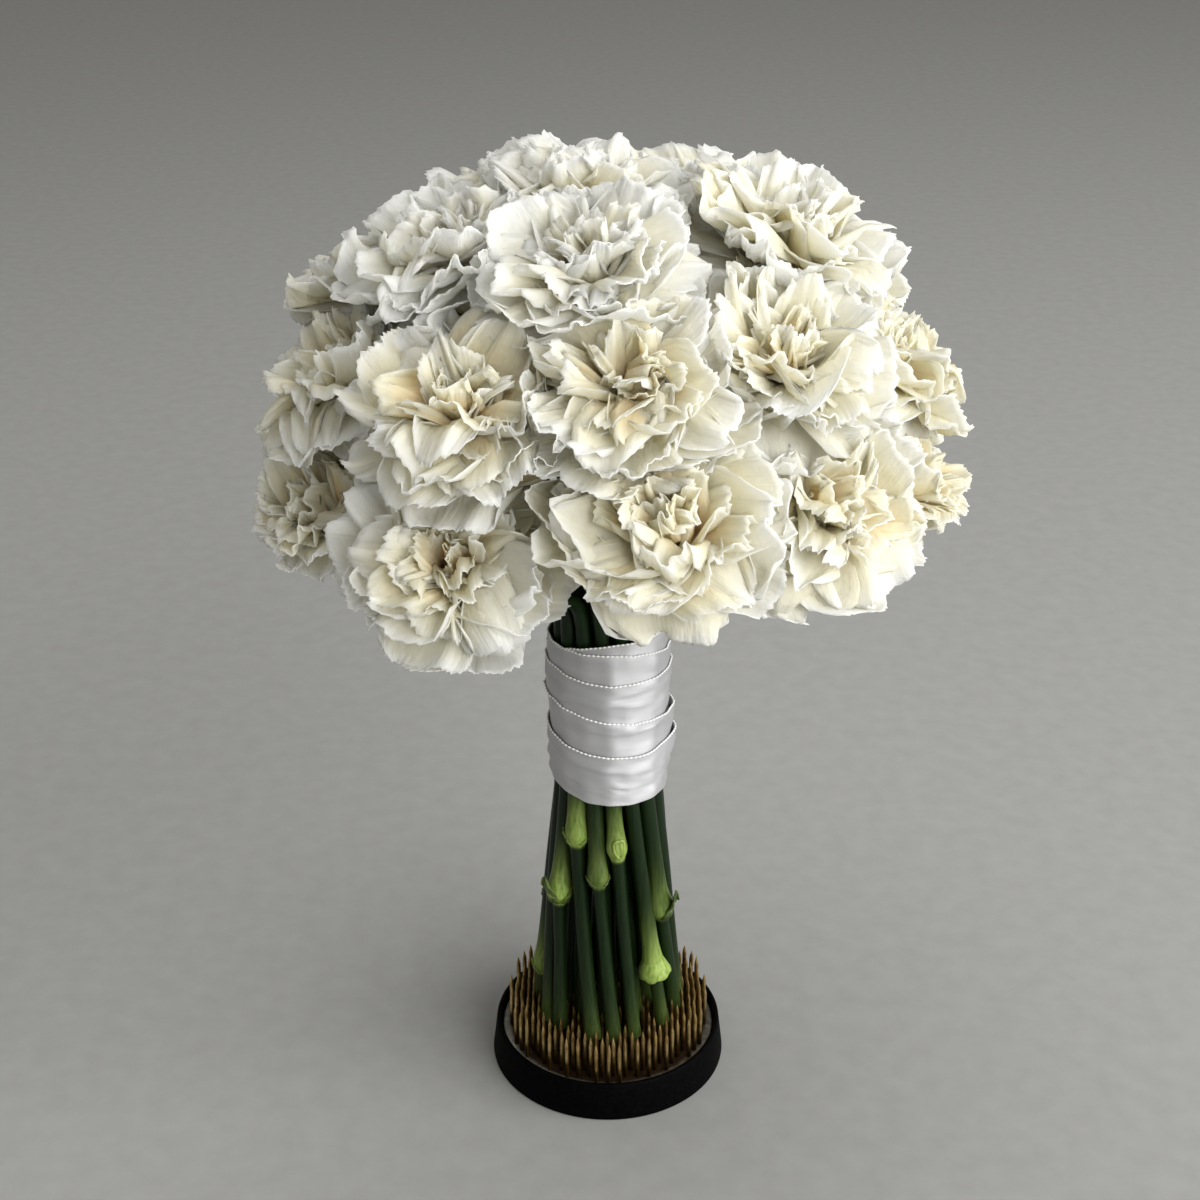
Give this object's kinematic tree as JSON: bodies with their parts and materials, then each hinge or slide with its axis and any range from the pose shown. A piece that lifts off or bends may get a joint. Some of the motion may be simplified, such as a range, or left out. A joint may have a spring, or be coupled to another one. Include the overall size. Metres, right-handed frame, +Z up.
{
  "type": "bunch of carnations",
  "caption": "Upright round bunch of cream carnations, its stems bound with a white satin ribbon and pressed onto a round pin holder with a black rubber ring.",
  "frame": {"origin": "middle of the pin holder's foot, on the surface it stands on", "axes": "+Z up along the bundle of stems, -Y the front of the bunch, +X to the right seen from the front"},
  "size_m": [0.2411, 0.2439, 0.3499],
  "materials": {
    "rubber": "matt black moulded rubber",
    "brass": "brass pins set in a dull grey metal plate",
    "satin": "white satin ribbon with a soft sheen",
    "stem": "waxy blue-green stems and calyxes, paler at the joints",
    "petal": "matt cream petals, whiter outside and yellower in the middle of each bloom"
  },
  "bodies": {
    "root": {"rubber_ring": "rubber", "pin_plate": "brass", "ribbon": "satin", "stem_01": "stem", "stem_02": "stem", "stem_03": "stem", "stem_04": "stem", "stem_05": "stem", "stem_06": "stem", "stem_07": "stem", "stem_08": "stem", "stem_09": "stem", "stem_10": "stem", "stem_11": "stem", "stem_12": "stem", "stem_13": "stem", "stem_14": "stem", "stem_15": "stem", "stem_16": "stem", "stem_17": "stem", "stem_18": "stem", "stem_19": "stem", "stem_20": "stem", "stem_21": "stem", "stem_22": "stem", "stem_23": "stem", "stem_24": "stem", "stem_25": "stem", "stem_26": "stem", "stem_27": "stem", "bloom_01": "petal", "bloom_02": "petal", "bloom_03": "petal", "bloom_04": "petal", "bloom_05": "petal", "bloom_06": "petal", "bloom_07": "petal", "bloom_08": "petal", "bloom_09": "petal", "bloom_10": "petal", "bloom_11": "petal", "bloom_12": "petal", "bloom_13": "petal", "bloom_14": "petal", "bloom_15": "petal", "bloom_16": "petal", "bloom_17": "petal", "bloom_18": "petal", "bloom_19": "petal", "bloom_20": "petal", "bloom_21": "petal", "bloom_22": "petal", "bloom_23": "petal", "bloom_24": "petal", "bloom_25": "petal", "bloom_26": "petal", "bloom_27": "petal"}
  },
  "joints": []
}
